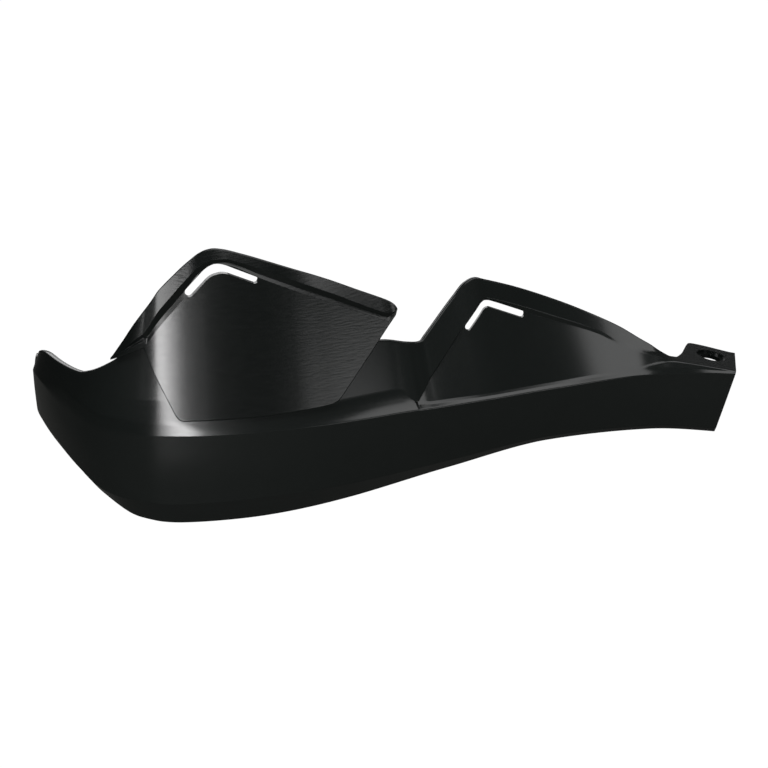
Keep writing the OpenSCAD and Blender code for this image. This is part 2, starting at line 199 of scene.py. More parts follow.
def hexColour(code):
    # an sRGB code turned to linear light
    value = np.array([int(code[i:i + 2], 16) for i in (1, 3, 5)]) / 255
    linear = np.where(value <= 0.04045, value / 12.92, ((value + 0.055) / 1.055) ** 2.4)
    return (*linear.tolist(), 1.0)


def addNode(tree, kind, settings=None, inputs=None):
    # a node with its settings, and each input either a constant or another node's socket
    node = tree.nodes.new(kind)
    for name, value in (settings or {}).items():
        setattr(node, name, value)
    for name, value in (inputs or {}).items():
        if isinstance(value, bpy.types.NodeSocket):
            tree.links.new(value, node.inputs[name])
        else:
            node.inputs[name].default_value = value
    return node


def newMaterial(name):
    # an empty node material, with its tree
    material = bpy.data.materials.new(name)
    material.use_nodes = True
    material.node_tree.nodes.clear()
    return material, material.node_tree


def noise(tree, where, size, detail):
    # cloudy noise with waves of this size in mm
    return addNode(tree, "ShaderNodeTexNoise", None,
                   {"Vector": where, "Scale": 1 / (size * mm), "Detail": detail}).outputs["Fac"]


def shade(tree, look, toneBy, roughBy, more):
    # base colour and roughness run between the look's two values as the noises do
    tone = addNode(tree, "ShaderNodeMix", {"data_type": "RGBA"},
                   {"Factor": toneBy, "A": hexColour(look["dark"]), "B": hexColour(look["light"])})
    rough = addNode(tree, "ShaderNodeMapRange", None,
                    {"Value": roughBy, "To Min": look["roughLow"], "To Max": look["roughHigh"]})
    shader = addNode(tree, "ShaderNodeBsdfPrincipled", None,
                     {"Base Color": tone.outputs["Result"], "Roughness": rough.outputs["Result"], **more})
    addNode(tree, "ShaderNodeOutputMaterial", None, {"Surface": shader.outputs["BSDF"]})


def relief(tree, height, strength, depth):
    # a normal tilted by the noise's slopes, as deep as given in mm
    return addNode(tree, "ShaderNodeBump", None,
                   {"Height": height, "Strength": strength, "Distance": depth * mm}).outputs["Normal"]


def mouldedPolypropylene():
    # injection-moulded black polypropylene: a smooth, waxy half gloss with faint flow waves from the tool
    look = {"dark": "#111413", "light": "#141716", "roughLow": 0.19, "roughHigh": 0.24,
            "flowSize": 14.0, "skinSize": 1.2, "skinDepth": 0.005, "index": 1.49}
    material, tree = newMaterial("mouldedPolypropylene")
    where = addNode(tree, "ShaderNodeTexCoord").outputs["Object"]
    flow = noise(tree, where, look["flowSize"], 2.0)
    skin = noise(tree, where, look["skinSize"], 3.0)
    shade(tree, look, flow, skin, {"Normal": relief(tree, skin, 0.5, look["skinDepth"]), "IOR": look["index"]})
    return material


def grainedPolypropylene():
    # matt black polypropylene with a fine grain along the guard, drawn 0.7 mm wide so that it shows
    look = {"dark": "#090c0b", "light": "#0e1110", "roughLow": 0.18, "roughHigh": 0.25,
            "grainWide": 0.7, "grainLong": 5.0, "grainDepth": 0.05, "index": 1.45}
    material, tree = newMaterial("grainedPolypropylene")
    where = addNode(tree, "ShaderNodeTexCoord").outputs["Object"]
    scale = [1 / (look[size] * mm) for size in ("grainLong", "grainLong", "grainWide")]
    along = addNode(tree, "ShaderNodeMapping", None, {"Vector": where, "Scale": scale})
    grain = addNode(tree, "ShaderNodeTexNoise", None,
                    {"Vector": along.outputs["Vector"], "Scale": 1.0, "Detail": 3.0}).outputs["Fac"]
    shade(tree, look, grain, grain, {"Normal": relief(tree, grain, 0.6, look["grainDepth"]), "IOR": look["index"]})
    return material


def zincPlatedSteel():
    # zinc-plated steel screws: pale grey metal, a little cloudy from the bath
    look = {"dark": "#a7a9ab", "light": "#c9cbcc", "roughLow": 0.28, "roughHigh": 0.42, "cloudSize": 2.0}
    material, tree = newMaterial("zincPlatedSteel")
    where = addNode(tree, "ShaderNodeTexCoord").outputs["Object"]
    cloud = noise(tree, where, look["cloudSize"], 3.0)
    shade(tree, look, cloud, cloud, {"Metallic": 1.0})
    return material


# Guard shell

shell = {
    "wall": 3.0,
    "ridgeZ": 3.5,
    "shelfHigh": 11.0,
    "flangeReach": 18.0,
    "ribThick": 2.0,
    "ribShelf": 13.0,
    "ribPitch": 32.0,
    "tabTilt": 12.0,
    "tabThick": 3.0,
    "tabFrom": 369.0,
    "endSlant": 16.0,
    "endTurn": 17.0,
    "cornerSteps": 7,
}
ridgeEndZ = shell["ridgeZ"] - 1
endX = place(plan["last"], 0, 0)[0]


def tabZ(s, back):
    # height of the tab's tilted plane at a place behind the ridge
    return ridgeEndZ + 0.5 + (endX - place(s, -back, 0)[..., 0]) * np.tan(np.radians(shell["tabTilt"]))


# Each line gives the shell's value in mm at places along the guard: heights, depths behind the plan and shares
shellLines = {
    "ridge": [(6, -3), (20, 4), (46, 9.6), (86, 6.5), (102, 3.5), (235, 3.5), (262, 2.8), (290, 2.2),
              (316, 2.2), (340, 3), (356, 3.5), (372, 3.5), (399, ridgeEndZ)],
    "low": [(6, -7), (9, -11.5), (16, -14), (36, -14), (62, -16.5), (82, -23.3), (97, -31), (118, -39.2),
            (140, -41), (168, -40.4), (216, -36.8), (265, -30.2), (314, -25), (360, -25), (399, -28.5)],
    "bandHigh": [(0, 3), (62, 4), (97, 6), (120, 11), (168, 11.5), (216, 9.5), (265, 5.5), (314, 3),
                 (399, 2.5)],
    "edge": [(6, 1), (8, 5), (12, 8.5), (20, 11.5), (31, 16), (43, 20.8), (52, 22.5), (64, 23.2), (83, 24.5),
             (92, 27.1), (104, 33), (121, 43), (128, 44), (236, 33.8), (248, 30.6), (254, 29.5),
             (255.5, 29.7), (257.5, 31.3), (266.3, 38.4), (275, 45.8), (280, 50.4), (284.5, 52), (289, 50.5),
             (306.7, 43.6), (324.6, 34.9), (337.2, 28), (349.5, 21), (357.2, 16), (361.2, 13.8),
             (365.1, 11.2), (shell["tabFrom"], float(tabZ(shell["tabFrom"], 9)))],
    "bandIn": [(0, 1), (62, 1.5), (110, 3), (399, 3)],
    "lowIn": [(0, 2.5), (62, 3.5), (112, 9), (216, 9), (300, 6), (399, 5)],
    "edgeIn": [(0, 2), (43, 3.4), (91, 5), (107, 7.5), (128, 12), (150, 12.5), (200, 12), (247, 13.5),
               (280, 22), (305, 22), (335, 20.5), (348, 18.5), (357, 15), (361, 12.8), (365.5, 10.4),
               (369.5, 8.5), (372, 8.8), (374, 11.8), (376, 16), (378, 22), (380, 28), (381.5, 31.3),
               (383, 32), (399, 28.5)],
    "ledgeIn": [(0, 0), (165, 0), (200, 1.6), (232, 3.8), (246, 4), (253, 1.2), (399, 1.2)],
    "ridgeIn": [(0, 0), (55, 0), (80, 0.7), (128, 0.8), (150, 0.15), (165, 0)],
    "firstRise": [(0, 1.8), (55, 1.8), (80, 6), (128, 6.5), (150, 2.5), (165, 1.5), (246, 1.5), (254, 1)],
    "ridgeSoft": [(0, 0.9), (50, 0.9), (75, 30), (114, 30), (126, 1.4), (150, 0.9)],
    "recessTop": [(0, 8), (55, 8), (80, 14), (128, 15), (150, 9), (165, 8), (240, 8), (246, 3.4),
                  (247.5, 2.8), (250, 4.8), (255, 10.4), (266, 20.4), (277.2, 31.2), (284.6, 38.8),
                  (287.6, 40.4), (291, 39.5), (305, 34.2), (323.2, 25.9), (340.1, 17.4), (348.2, 12.2),
                  (360, 8)],
    "recessWall": [(0, 2.4), (240, 2.4), (248, 1), (256, 1.6), (284.6, 1.4), (288.3, 1.5), (305, 2.3),
                   (314, 2.5), (332, 2), (348, 1.1)],
    "recessIn": [(246.5, 0), (248.5, 1.9), (324, 1.9), (351, 0)],
    "recessShare": [(243, 0), (247, 1), (340, 1), (356, 0)],
    "tabShare": [(342, 0), (353, 0.1), (362, 0.48), (371, 0.97), (376, 1)],
}
# How the points of the upper face keep their order where it is low, and how the recess runs out at its foot
faceShares = {
    "recessTop": 0.93,  # of the face's height, at most
    "first": 0.4,  # of the recess's top, at most
    "second": 0.6,
    "wallFoot": 0.4,  # of the way from the second point to the recess's top, at least
    "sunk": 0.42,  # of the recess's depth, at least
    "sunkOver": 54.0,  # mm of height over which it would run out
    "firstSunk": 0.88,
    "bandBulge": 0.35,
    "tabNose": 0.7,
    "ledgeBack": 0.3,
}
tabBack = {"nose": 1.4, "foot": 3.0, "top": 6.0, "under": 3.9}  # the tab's points behind its front edge
insideDrop = {"wing": 1.0, "tab": shell["wall"] + 0.4}  # the inner corner's drop below the ridge
shellRounds = {"bottom": 1.2, "band": 1.6, "bulge": 900.0, "shelf": 30.0, "tight": 0.6, "recessFoot": 0.1,
               "tabTop": 0.7, "edge": 1.2, "edgeBack": 0.8, "under": 1.0, "inside": 2.0, "flange": 1.0,
               "flangeEdge": 0.6}


def line(name, s):
    # one of the shell's lines at the places s
    return smoothCurve(shellLines[name], s)


def upperOut(s, h, high):
    # a hollow shelf steps back over its height above the ridge, then the face leans back evenly to its top edge
    ledge = line("ledgeIn", s)
    soft = np.minimum(h / shell["shelfHigh"], 1)
    return -ledge * soft * (2 - soft) - (line("edgeIn", s) - ledge) * h / high


def shellSections(s):
    # outer corners from the bottom edge up over band, ridge and recess to the top edge, then back down inside
    wall, share = shell["wall"], faceShares
    ridge, bottom, edgeIn = line("ridge", s), line("low", s), line("edgeIn", s)
    edge = np.where(s > shell["tabFrom"], tabZ(s, edgeIn), line("edge", s))
    bandHigh = line("bandHigh", s)
    band, high = bottom + bandHigh, edge - ridge
    deep, tab = line("recessIn", s), line("tabShare", s)
    top = np.minimum(line("recessTop", s), high * share["recessTop"])
    first = np.minimum(line("firstRise", s), top * share["first"])
    second = np.minimum(2 * first, top * share["second"])
    foot = np.maximum(top - line("recessWall", s), second + (top - second) * share["wallFoot"])
    sunk = deep * np.maximum(share["sunk"], 1 - top / share["sunkOver"])

    def onTab(into, h, back):
        # the face's point at height h, moved in, becomes one on the tab's plane, this far behind its front edge
        x = upperOut(s, h, high) + into
        return mix(x, -back, tab), mix(ridge + h, tabZ(s, back + 0 * s), tab)

    bandIn, lowIn = line("bandIn", s), line("lowIn", s)
    lean = np.arctan2(edgeIn, high)
    backX = mix(-wall * np.cos(lean), 0, tab)
    backZ = mix(-wall * np.sin(lean), -shell["tabThick"] / np.cos(np.radians(shell["tabTilt"])), tab)
    reach = np.minimum(shell["flangeReach"], lowIn + wall + bandHigh)
    flangeTop = bottom + shell["ribThick"]
    underX, underZ = onTab(backX, top, tabBack["under"])
    noseX, noseZ = upperOut(s, first, high) - sunk * share["firstSunk"], ridge + first
    tabNoseX, tabNoseZ = -tabBack["nose"] * share["tabNose"], (ridge + tabZ(s, tabBack["nose"] + 0 * s)) / 2
    corners = [(-lowIn, bottom), (-bandIn, band), (-bandIn * share["bandBulge"], (band + ridge) / 2),
               (-line("ridgeIn", s), ridge), (mix(noseX, tabNoseX, tab), mix(noseZ, tabNoseZ, tab)),
               onTab(-sunk, second, tabBack["nose"]), onTab(-deep, foot, tabBack["foot"]),
               onTab(0, top, tabBack["top"]), (-edgeIn, edge), (-edgeIn + backX, edge + backZ),
               (underX, underZ + backZ),
               (-wall - line("ledgeIn", s) * share["ledgeBack"],
                ridge - mix(insideDrop["wing"], insideDrop["tab"], tab)),
               (-bandIn - wall, band), (-lowIn - wall, flangeTop), (-reach, flangeTop), (-reach, bottom)]
    return np.stack([np.stack(np.broadcast_arrays(x, z), -1) for x, z in corners], 1)


def shellRadii(s):
    # rounding of each corner: wide at the soft stretch of the ridge and on the shelf, tight at the recess and tab
    soft, recess, tab = line("ridgeSoft", s), line("recessShare", s), line("tabShare", s)
    q, tight = shellRounds, np.maximum(recess, tab)
    shelf = mix(q["shelf"], q["tight"], tight)
    foot = mix(q["shelf"], q["recessFoot"], tight)
    radii = [q["bottom"], q["band"], q["bulge"], soft, np.maximum(shelf, soft), shelf, foot,
             mix(shelf, q["tabTop"], tab), q["edge"], q["edgeBack"], q["under"], q["inside"], q["inside"],
             q["flange"], q["flangeEdge"], q["flangeEdge"]]
    return np.stack([np.broadcast_to(radius, s.shape) for radius in radii], 1)


def loftAlong(name, s, sections):
    # closed sections, each of offsets and heights, set on the plan's line at the places s
    return closedSkin(name, place(s[:, None], sections[..., 0], sections[..., 1]))


shellPlaces = placesOf((plan["armTip"], 20, 0.5), (20, 118, 1.0), (118, 142, 0.5), (142, 242, 1.0),
                       (242, 262, 0.5), (262, 364, 1.0), (364, 386, 0.5), (386, plan["last"] + 3.1, 1.0))
guard = loftAlong("guardShell", shellPlaces,
                  roundCorners(shellSections(shellPlaces), shellRadii(shellPlaces), shell["cornerSteps"]))
print("shell skin")

# Frames that the bores and bosses are made in: rows are the local X, Y and Z axes
tilt = np.radians(shell["tabTilt"])
tabAxes = [(np.cos(tilt), 0, -np.sin(tilt)), (0, 1, 0), (np.sin(tilt), 0, np.cos(tilt))]
barAxes = [(0, 0, 1), (-padAlong[0], -padAlong[1], 0), (padOut[0], padOut[1], 0)]
forwardAxes = [(1, 0, 0), (0, 0, 1), (0, -1, 0)]

tab = {
    "boltD": 9.0,
    "headD": 13.5,
    "headDeep": 1.2,
    "s": plan["last"] - 9.5,  # place of the bolt along the guard
    "back": 18.0,  # and behind the tab's front edge
}
tabAt = place(tab["s"], -tab["back"], float(tabZ(tab["s"], tab["back"])))
barEnd = {"thick": 5.0, "boltD": 8.4, "headD": 16.0, "bossD": 20.0, "bossEdge": 0.4, "bossIn": 0.5,
          "space": 2.0, "spaceDeep": 16.0}  # room round and behind the seat, for the handlebar's end
barEndAt = (0, 0, 0)
bossLevels = [(barEnd["bossEdge"], 0), (0, barEnd["bossEdge"]), (0, plan["padThick"] - barEnd["bossIn"])]
combine(guard, stacked("barEndBoss", circle(barEnd["bossD"]), bossLevels, barAxes, barEndAt), "UNION")

# Shelf behind the ridge, ribs and the deflector's screw bosses
shelfFacts = {"from": 92, "wideFrom": 124, "to": 368.0, "ribsFrom": 130,
              "drop": 1.0}  # places along the guard, and depth below the ridge
shelfPlaces = np.arange(shelfFacts["from"], shelfFacts["to"] + 0.1, 1.0)
shelfBack = smoothCurve([(shelfFacts["from"], shell["wall"]), (shelfFacts["wideFrom"], shell["ribShelf"])],
                        shelfPlaces)
shelfTop = np.full(len(shelfPlaces), shell["ridgeZ"] - shelfFacts["drop"])
shelfUnder = shelfTop - shell["ribThick"]
shelfIn = np.full(len(shelfPlaces), 1 - shell["wall"])
shelfSections = np.stack([np.stack(q, -1) for q in (
    (shelfIn, shelfTop), (-shelfBack, shelfTop), (-shelfBack, shelfUnder), (shelfIn, shelfUnder))], 1)
combine(guard, loftAlong("shelf", shelfPlaces, shelfSections), "UNION")


def makeRib(s):
    # a flat web across the bar's hollow, from the shelf down to the bottom flange, its ends inside what carries it
    bottom, bandHigh, bandIn, lowIn = (float(line(name, s)) for name in ("low", "bandHigh", "bandIn", "lowIn"))
    into = shell["ribThick"] / 2
    bottom += into
    middle, top = shell["wall"] / 2, shell["ridgeZ"] - 1.5
    reach = min(shell["flangeReach"], lowIn + shell["wall"] + bandHigh) - into
    outline = np.array([(middle, top), (bandIn + middle, bottom + bandHigh), (lowIn + middle, bottom),
                        (reach, bottom), (shell["ribShelf"] - into, top)])
    turn = float(heading(s))
    axes = [(-np.sin(turn), np.cos(turn), 0), (0, 0, 1), (np.cos(turn), np.sin(turn), 0)]
    return stacked("rib", outline, [(0, -into), (0, into)], axes, place(s, 0, 0))


for s in np.arange(shelfFacts["ribsFrom"], shelfFacts["to"], shell["ribPitch"]):
    combine(guard, makeRib(s), "UNION")

fixing = {
    "places": [(150, 30), (182, 21), (211, 27)],  # distance along the guard and height
    "bossLong": 5.0,
    "bossWall": 3.0,
    "bossEdge": 0.3,
    "through": 6.0,  # length of a boss past the shell's wall, before it is cut to the wall
    "spigotD": 8.0,
    "gap": 0.2,
    "headD": 10.0,
    "headHigh": 2.6,
    "domeTop": 0.72,  # flat middle of the head, of its radius
    "domeSide": 0.28,
    "domeHigh": 0.62,  # of the head's height
    "screwD": 4.0,
    "screwLong": 10.0,
    "pointLong": 1.2,
    "pointIn": 0.9,
    "socket": 3.4,
    "socketDeep": 2.4,
}


def faceOut(s, z):
    # offset of the upper face at height z, without its recess
    r = line("ridge", s)
    return upperOut(s, z - r, line("edge", s) - r)


def fixingPoint(s, z):
    # where a screw's axis meets the shell's face, moved back to its boss's back plane
    face = place(s, faceOut(s, z), z)
    return (face[0], face[1] + shell["wall"] + fixing["bossLong"], z)


fixingPoints = [fixingPoint(s, z) for s, z in fixing["places"]]
front = {
    "places": np.arange(138, 226.1, 2.0),  # the stretch that holds all the bosses
    "high": 46.0,
    "ahead": 15.0,
    "inWall": 0.4,  # bosses and spigots end inside the wall, at this share of it
    "panelLow": 5.0,
}


def frontSpace(name, outLow, outHigh, low):
    # all that lies in front of a surface given by its offsets at a low and a high line
    high, ahead = (np.full(len(front["places"]), front[name]) for name in ("high", "ahead"))
    return loftAlong(name, front["places"], np.stack([np.stack(q, -1) for q in (
        (outLow, low), (ahead, low), (ahead, high), (outHigh, high))], 1))


def shellFront():
    # the space in front of the middle of the shell's upper face
    s, middle = front["places"], shell["wall"] * front["inWall"]
    low = line("ridge", s) + shell["shelfHigh"]
    return frontSpace("shellFront", faceOut(s, low) - middle, faceOut(s, front["high"]) - middle, low)


for point in fixingPoints:
    boss = stacked("boss", circle(fixing["spigotD"] + 2 * fixing["bossWall"]),
                   [(fixing["bossEdge"], 0), (0, fixing["bossEdge"]), (0, fixing["bossLong"] + fixing["through"])],
                   forwardAxes, point)
    combine(boss, shellFront(), "DIFFERENCE")
    combine(guard, boss, "UNION")
print("shell back")

# Inner end, vent, bores: each tool runs past what it cuts
slant, turn = np.radians(shell["endSlant"]), np.radians(shell["endTurn"])
slanted = np.array([(np.cos(slant), 0, -np.sin(slant)), (0, 1, 0), (np.sin(slant), 0, np.cos(slant))])
turned = np.array([(np.cos(turn), -np.sin(turn), 0), (np.sin(turn), np.cos(turn), 0), (0, 0, 1)])
blockShort, blockLong = 20.0, 60.0
endBlock = np.array([(0, -blockShort), (blockLong, -blockShort), (blockLong, blockLong), (0, blockLong)])
combine(guard, stacked("endBlock", endBlock, [(0, -blockLong), (0, blockShort)], slanted @ turned,
                       place(plan["last"] - 1, 0, shell["ridgeZ"])), "DIFFERENCE")


def cutVent(piece, vent, facePoint):
    # a bent slot of the XZ plane with round ends, cut along Y: two straight legs and a parabola at the bend
    low, bend, far = (facePoint(*vent[name]) for name in ("low", "bend", "far"))
    p = bend + vent["bendReach"] * (low - bend) / np.linalg.norm(low - bend)
    q = bend + vent["bendReach"] * (far - bend) / np.linalg.norm(far - bend)
    count = 13
    share = np.linspace(0, 1, count)[:, None]
    parabola = (1 - share) ** 2 * p + 2 * share * (1 - share) * bend + share ** 2 * q
    path = np.concatenate([[low], parabola, [far]])
    along = np.gradient(path, axis=0)
    turns = np.arctan2(along[:, 1], along[:, 0])
    half = np.interp(np.linspace(0, 1, len(path)), [0, 0.5, 1], vent["widths"]) / 2
    sweep = np.linspace(0, np.pi, count)

    def side(i, angle):
        return path[i] + (half[i] * np.stack([np.cos(turns[i] + angle), np.sin(turns[i] + angle)])).T

    middle = np.arange(1, len(path) - 1)
    last = np.full(count, len(path) - 1)
    outline = np.concatenate([side(middle, np.pi / 2), side(last, np.pi / 2 - sweep),
                              side(middle[::-1], -np.pi / 2), side(last * 0, -np.pi / 2 - sweep)])
    y = float(place(vent["middle"], 0, 0)[1]) + vent["behind"]
    combine(piece, stacked("vent", outline[::-1], [(0, -25), (0, 25)], forwardAxes, (0, y, 0)), "DIFFERENCE")


def wingPoint(s, z):
    # X and Z of a point on the wing's face
    return place(s, faceOut(s, z), z)[[0, 2]]


# A vent's points are places along the guard with their heights
wingVent = {"low": (278.2, 31.4), "bend": (287.8, 40.4), "far": (305.2, 32.4), "bendReach": 3.0,
            "widths": (2.7, 3.15, 2.7), "middle": 286, "behind": 0.0}
cutVent(guard, wingVent, wingPoint)


def bore(name, diameter, low, high, axes, origin):
    # a round hole from its low to its high level
    return stacked(name, circle(diameter), [(0, low), (0, high)], axes, origin)


combine(guard, bore("tabBolt", tab["boltD"], -20, 20, tabAxes, tabAt), "DIFFERENCE")
combine(guard, bore("tabHead", tab["headD"], -tab["headDeep"], 10, tabAxes, tabAt), "DIFFERENCE")
combine(guard, bore("barBolt", barEnd["boltD"], -20, 40, barAxes, barEndAt), "DIFFERENCE")
combine(guard, bore("barHead", barEnd["headD"], barEnd["thick"], 25, barAxes, barEndAt), "DIFFERENCE")
combine(guard, bore("barEndSpace", barEnd["bossD"] + barEnd["space"], -barEnd["spaceDeep"], 0, barAxes, barEndAt),
        "DIFFERENCE")
holeD = fixing["spigotD"] + 2 * fixing["gap"]
for point in fixingPoints:
    combine(guard, bore("spigotHole", holeD, -1, 19, forwardAxes, point), "DIFFERENCE")
print("shell cuts", len(guard.data.polygons))

# Deflector

panel = {
    "wall": 2.4,
    "gap": 0.4,
    "rise": 7.0,
    "grooveDeep": 0.8,
    "groovePlace": 0.35,  # share of the way from the field's top edge to the crest
    "fieldLeast": 0.2,  # field and crest stay at least this share of the height above the lower edge
    "crestLeast": 0.4,
    "backThick": 0.8,  # the edge's back corner, in shares of the wall
    "backDrop": 0.4,
    "from": 107.0,
    "to": 241.4,
    "cornerSteps": 6,
    "radii": [1.5, 0.3, 0.35, 0.3, 0.9, 0.6, 1.0, 0.6],
}
panelLowZ = shell["ridgeZ"] + panel["rise"]
panelLines = {
    "low": [(107, 35.6), (122.6, 41.6), (137.4, panelLowZ + 2.2), (138.6, panelLowZ + 0.7), (140.4, panelLowZ),
            (178, panelLowZ), (201, panelLowZ + 0.8), (206.6, panelLowZ + 1.3), (209, panelLowZ + 2.2),
            (211, panelLowZ + 3.8), (240.3, 45), (241.4, 47.6)],
    "edge": [(107, 36.6), (111.6, 43.7), (117.6, 52.6), (125.6, 62), (138.6, 73.1), (145.4, 78.2), (149.3, 80.8),
             (152.7, 82.1), (156, 82.5), (160, 82), (169.4, 79.4), (183.5, 74.6), (197.6, 69.2), (211.8, 63.6),
             (225.7, 57.3), (236.5, 52.3), (239.4, 50.8), (240.8, 49.6), (241.4, 48.2)],
    "fieldDrop": [(107, 0.5), (112, 7.2), (120, 14.5), (123, 16.4), (133, 15), (141, 13.4), (150, 9.6),
                  (157, 7.4), (164, 6.3), (178.6, 8.3), (196, 9.2), (214.5, 9.6), (237, 9), (241.4, 8.6)],
    "crestDrop": [(107, 0.3), (112, 6.3), (118, 10.4), (124, 10), (130, 8.3), (136, 7.2), (143, 6),
                  (150, 5.2), (157, 4.6), (164, 3.8), (183, 4.3), (215, 5.3), (233, 5.6), (238, 5),
                  (241.4, 2)],
    "borderBend": [(107, 2.2), (140, 2.2), (152, 0.8), (185, 0.8), (205, 2.1), (236, 2.3), (241.4, 1)],
    "crestHigh": [(107, 0.8), (140, 0.8), (152, 0.3), (185, 0.3), (205, 0.8), (234, 0.8), (239, 0)],
    "bow": [(107, 0), (120, 0.06), (148, 0.5), (176, 0.06), (190, 0)],
    "seat": [(110, -2), (165, -2.15), (190, -2.8), (205, -3.3), (241.4, -3.6)],
    "lean": [(110, 0.15), (128, 0.205), (150, 0.25), (172, 0.262), (200, 0.26), (241.4, 0.26)],
}


def panelLine(name, s):
    # one of the deflector's lines at the places s
    return smoothCurve(panelLines[name], s)


def panelOut(s, z):
    # the field clears the shell under its lower edge and leans back evenly, less so towards the arm
    return (panelLine("seat", s) + panelLine("bow", s) + panel["gap"] + panel["wall"]
            - panelLine("lean", s) * (z - panelLowZ))


def panelSections(s):
    # front corners from the lower edge up over the groove and the crest to the border's edge, then down the back
    low = np.interp(s, *np.array(panelLines["low"]).T)
    edge = np.maximum(panelLine("edge", s), low + 0.5)
    field = np.maximum(edge - panelLine("fieldDrop", s), low + (edge - low) * panel["fieldLeast"])
    crest = np.maximum(edge - panelLine("crestDrop", s), low + (edge - low) * panel["crestLeast"])
    groove = field + (crest - field) * panel["groovePlace"]
    # groove, crest and bend shrink where the deflector is low
    small = np.minimum(np.minimum((field - low) / 2, (crest - field) / 2.5), 1)
    bend = panelLine("borderBend", s) * np.minimum((edge - crest) / 4, 1)
    wall, edgeOut = panel["wall"], panelOut(s, edge) - bend
    corners = [(panelOut(s, low), low), (panelOut(s, field), field),
               (panelOut(s, groove) - panel["grooveDeep"] * small, groove),
               (panelOut(s, crest) + panelLine("crestHigh", s) * small, crest), (edgeOut, edge),
               (edgeOut - wall * panel["backThick"],
                edge - np.minimum(wall * panel["backDrop"], (edge - crest) / 2)),
               (panelOut(s, crest) - wall, crest - 0.05), (panelOut(s, low) - wall, low)]
    return np.stack([np.stack([x, z], -1) for x, z in corners], 1)


panelPlaces = placesOf((panel["from"], 163, 0.5), (163, 205, 1.0), (205, 212, 0.5), (212, 236, 1.0),
                       (236, panel["to"] + 0.01, 0.3))
panelRadii = np.broadcast_to(panel["radii"], (len(panelPlaces), len(panel["radii"])))
deflector = loftAlong("windDeflector", panelPlaces,
                      roundCorners(panelSections(panelPlaces), panelRadii, panel["cornerSteps"]))


def panelFront():
    # the space in front of the middle of the deflector's wall
    s, low, middle = front["places"], front["panelLow"], panel["wall"] * front["inWall"]
    return frontSpace("panelFront", panelOut(s, low) - middle, panelOut(s, front["high"]) - middle,
                      np.full(len(s), low))


for point in fixingPoints:
    spigot = stacked("spigot", circle(fixing["spigotD"]), [(0.4, 0.3), (0, 0.7), (0, 20)], forwardAxes, point)
    combine(spigot, panelFront(), "DIFFERENCE")
    combine(deflector, spigot, "UNION")


def panelPoint(s, z):
    # X and Z of a point on the deflector's field
    return place(s, panelOut(s, z), z)[[0, 2]]


panelVent = {"low": (144.5, 64.8), "bend": (156.4, 75.6), "far": (175, 68), "bendReach": 7.0,
             "widths": (3.6, 4.3, 2.9), "middle": 155, "behind": 18.0}
cutVent(deflector, panelVent, panelPoint)
pilotD, pilotTo = fixing["screwD"] + 2 * fixing["gap"], fixing["screwLong"] + fixing["gap"]
for point in fixingPoints:
    combine(deflector, bore("pilot", pilotD, -1, pilotTo, forwardAxes, point), "DIFFERENCE")
print("deflector", len(deflector.data.polygons))

# Screws

def makeScrew(name, point):
    # a round outline inset level by level: domed head, its edge, shank and point; then a hexagon socket
    high, screwLong, r = fixing["headHigh"], fixing["screwLong"], fixing["headD"] / 2
    dome = np.linspace(0, np.pi / 2, 9)
    head = [(r - fixing["domeTop"] * r - fixing["domeSide"] * r * np.sin(a),
             -high + high * fixing["domeHigh"] * (1 - np.cos(a))) for a in dome]
    shank, headEdge = r - fixing["screwD"] / 2, 0.15
    levels = head + [(0, -headEdge), (headEdge, 0), (shank, 0), (shank, screwLong - fixing["pointLong"]),
                     (shank + fixing["pointIn"], screwLong)]
    screw = stacked(name, circle(fixing["headD"], 64), levels, forwardAxes, point)
    socketFrom = -high - 1
    combine(screw, stacked("socket", circle(fixing["socket"], 6),
                           [(0, socketFrom), (0, socketFrom + fixing["socketDeep"])], forwardAxes, point),
            "DIFFERENCE")
    return screw


screws = [makeScrew(f"deflectorScrew{i + 1}", point) for i, point in enumerate(fixingPoints)]

finishPiece(guard, "guard_shell", mouldedPolypropylene())
finishPiece(deflector, "deflector", grainedPolypropylene())
zinc = zincPlatedSteel()
for i, screw in enumerate(screws):
    finishPiece(screw, f"deflector_screw_{i + 1}", zinc)
print("pieces finished")

# Studio: white surroundings for the camera, a dim room, four soft lamps in front and one behind

studio = {
    "middle": (0.146, -0.05, 0.01),
    "floorZ": -0.32,
    "floorHalf": 6.0,
    "paper": "#5a5a58",
    "paperShare": 0.88,  # of the floor's glow in what the camera sees
    "paperGlow": 1.15,
    "room": 0.04,
    "boardHalfAngle": 25.0,
    "lamps": {
        "low": {"azimuth": -16.2, "elevation": -1, "width": 0.18, "height": 0.68, "watts": 10.0},
        "right": {"azimuth": 33, "elevation": -2, "width": 0.44, "height": 0.40, "watts": 1.4},
        "left": {"azimuth": -57, "elevation": 34, "width": 0.42, "height": 0.38, "watts": 4.4},
        "back": {"azimuth": 188, "elevation": 26, "width": 1.2, "height": 0.7, "watts": 7.0},
        "top": {"azimuth": 52, "elevation": 62.5, "width": 1.7, "height": 0.84, "watts": 9.8},
    },
    "lampDistance": 1.3,
}
cameraFacts = {"azimuth": -12.0, "elevation": 22.0, "distance": 1.6, "lens": 166.7, "sensor": 36.0,
               "target": (0.14517, -0.03237, -0.00367)}


def direction(azimuth, elevation):
    # unit vector from the object, azimuth from -Y towards +X, elevation upwards, in degrees
    a, e = np.radians(azimuth), np.radians(elevation)
    return Vector((np.sin(a) * np.cos(e), -np.cos(a) * np.cos(e), np.sin(e)))


def aim(thing, target, toward, distance):
    # set at a distance from the target and turned to face it
    thing.location = Vector(target) + toward * distance
    thing.rotation_euler = (-toward).to_track_quat("-Z", "Y").to_euler()
    bpy.context.scene.collection.objects.link(thing)


